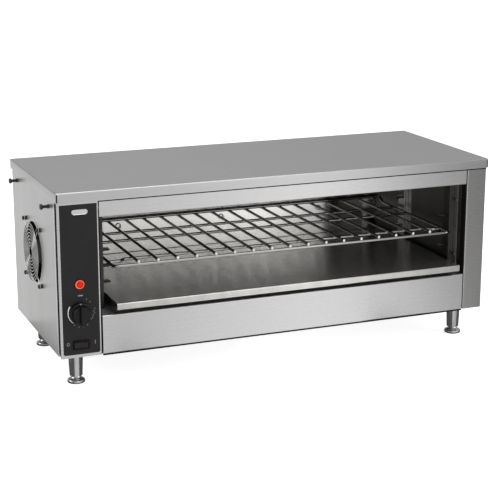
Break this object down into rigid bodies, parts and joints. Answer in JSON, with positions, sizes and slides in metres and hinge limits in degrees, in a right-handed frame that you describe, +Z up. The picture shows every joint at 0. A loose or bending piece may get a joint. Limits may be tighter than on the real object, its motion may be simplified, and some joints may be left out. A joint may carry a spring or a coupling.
{
  "type": "countertop cheese melter",
  "caption": "Open-fronted stainless countertop cheese melter with a sliding wire rack, crumb tray, top elements, side cooling fan and a control column on levelling legs.",
  "frame": {"origin": "on the worktop, under the middle of the whole object's box", "axes": "+X to the right along the longest side, +Y to the back, +Z up; the opening and controls face -Y"},
  "size_m": [0.8686, 0.3694, 0.358],
  "materials": {
    "cover_steel": "brushed along its length",
    "body_steel": "brushed along its length",
    "overlay_film": "satin printed film",
    "badge_silver": "satin",
    "cavity_steel": "brushed, dulled by heat",
    "galvanised": "zinc plated",
    "mirror_steel": "polished nearly to a mirror",
    "mineral_wool": "mineral wool",
    "screw_dark": "dark plated",
    "rack_chrome": "bright chrome",
    "tray_steel": "brushed",
    "element_sheath": "oxidised heat-resisting sheath",
    "ceramic": "glazed ceramic",
    "regulator_case": "moulded thermoset",
    "nut_nickel": "nickel plated",
    "knob_black": "satin moulded",
    "pointer_white": "filled line",
    "switch_black": "moulded",
    "lens_red": "clear moulded",
    "fan_black": "moulded",
    "guard_chrome": "bright plated wire",
    "screw_black": "black oxide",
    "lead_insulation": "silicone insulation",
    "thermostat_black": "moulded",
    "earth_brass": "turned",
    "screw_steel": "zinc plated",
    "leg_steel": "satin nickel"
  },
  "bodies": {
    "chassis": {"top_cover": "cover_steel", "left_side_panel": "body_steel", "right_side_panel": "body_steel", "back_panel": "body_steel", "bottom_panel": "body_steel", "front_lower_panel": "body_steel", "front_valance": "body_steel", "control_panel": "body_steel", "control_overlay": "overlay_film", "badge_plate": "badge_silver", "cavity_floor": "cavity_steel", "floor_supports": "galvanised", "left_liner": "cavity_steel", "right_liner": "cavity_steel", "back_liner": "mirror_steel", "heat_reflector": "cavity_steel", "insulation_top": "mineral_wool", "insulation_back": "mineral_wool", "rack_channel_left_front": "cavity_steel", "rack_channel_left_rear": "cavity_steel", "rack_channel_right_front": "cavity_steel", "rack_channel_right_rear": "cavity_steel", "channel_screws": "screw_dark", "heating_element_front": "element_sheath", "heating_element_rear": "element_sheath", "element_brackets": "cavity_steel", "element_bushings": "ceramic", "heat_regulator": "regulator_case", "regulator_nut": "nut_nickel", "rocker_housing": "switch_black", "pilot_housing": "switch_black", "pilot_lens": "lens_red", "fan_frame": "fan_black", "fan_guard": "guard_chrome", "fan_spacers": "fan_black", "fan_screws": "screw_black", "side_pins": "screw_black", "terminal_block": "ceramic", "wiring": "lead_insulation", "limit_thermostat": "thermostat_black", "earth_stud": "earth_brass", "cord_gland": "fan_black", "sheet_screws": "screw_steel", "leg_front_left": "leg_steel", "leg_front_right": "leg_steel", "leg_rear_left": "leg_steel", "leg_rear_right": "leg_steel", "leg_nuts": "nut_nickel"},
    "rack": {"rack_frame": "rack_chrome", "rack_wires": "rack_chrome"},
    "tray": {"crumb_tray": "tray_steel"},
    "knob": {"control_knob": "knob_black", "knob_pointer": "pointer_white", "control_shaft": "nut_nickel"},
    "switch_rocker": {"rocker": "switch_black"},
    "impeller": {"fan_impeller": "fan_black"},
    "levelling_front_left": {"foot_front_left": "leg_steel"},
    "levelling_front_right": {"foot_front_right": "leg_steel"},
    "levelling_rear_left": {"foot_rear_left": "leg_steel"},
    "levelling_rear_right": {"foot_rear_right": "leg_steel"}
  },
  "joints": [
    {"name": "knob_turn", "type": "hinge", "parent": "chassis", "child": "knob", "pos_m": [-0.3812, -0.1627, 0.1405], "axis": [0, 1, 0], "range_deg": [0, 300]},
    {"name": "rocker_tilt", "type": "hinge", "parent": "chassis", "child": "switch_rocker", "pos_m": [-0.3812, -0.1607, 0.083], "axis": [0, 0, 1], "range_deg": [0, 16]},
    {"name": "fan_spin", "type": "hinge", "parent": "chassis", "child": "impeller", "pos_m": [-0.4111, 0.0117, 0.214], "axis": [1, 0, 0], "continuous": true},
    {"name": "rack_slide", "type": "slide", "parent": "chassis", "child": "rack", "axis": [0, -1, 0], "range_m": [0, 0.24]},
    {"name": "tray_slide", "type": "slide", "parent": "chassis", "child": "tray", "axis": [0, -1, 0], "range_m": [0, 0.3]},
    {"name": "foot_front_left_screw", "type": "slide", "parent": "chassis", "child": "levelling_front_left", "axis": [0, 0, -1], "range_m": [0, 0.019]},
    {"name": "foot_front_right_screw", "type": "slide", "parent": "chassis", "child": "levelling_front_right", "axis": [0, 0, -1], "range_m": [0, 0.019]},
    {"name": "foot_rear_left_screw", "type": "slide", "parent": "chassis", "child": "levelling_rear_left", "axis": [0, 0, -1], "range_m": [0, 0.019]},
    {"name": "foot_rear_right_screw", "type": "slide", "parent": "chassis", "child": "levelling_rear_right", "axis": [0, 0, -1], "range_m": [0, 0.019]}
  ]
}
